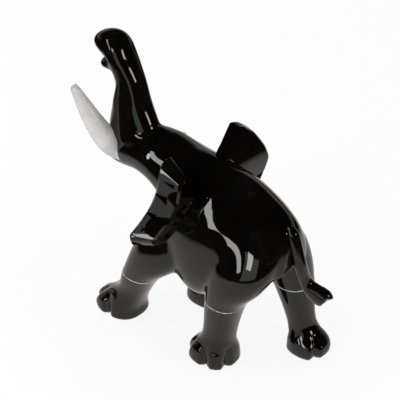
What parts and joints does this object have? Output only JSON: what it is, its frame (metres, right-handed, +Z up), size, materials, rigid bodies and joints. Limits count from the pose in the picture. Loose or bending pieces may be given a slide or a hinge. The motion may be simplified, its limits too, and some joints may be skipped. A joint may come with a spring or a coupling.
{
  "type": "elephant figurine",
  "caption": "Walking elephant with raised trunk carved in polished black stone, with glued ears, pale tusks, bead eyes, lower legs and tail.",
  "frame": {"origin": "centre of the footprint of the bounding box, on the surface that the feet stand on", "axes": "+Z up; the elephant faces -Y and its left side is +X"},
  "size_m": [0.0682, 0.1092, 0.1126],
  "materials": {
    "black_stone": "polished",
    "pale_crystal": "polished",
    "eye_bead": "polished"
  },
  "bodies": {
    "root": {"body": "black_stone", "ear_left": "black_stone", "ear_right": "black_stone", "tusk_left": "pale_crystal", "tusk_right": "pale_crystal", "eye_left": "eye_bead", "eye_right": "eye_bead", "lower_leg_front_left": "black_stone", "lower_leg_front_right": "black_stone", "lower_leg_rear_left": "black_stone", "lower_leg_rear_right": "black_stone", "tail": "black_stone"}
  },
  "joints": []
}
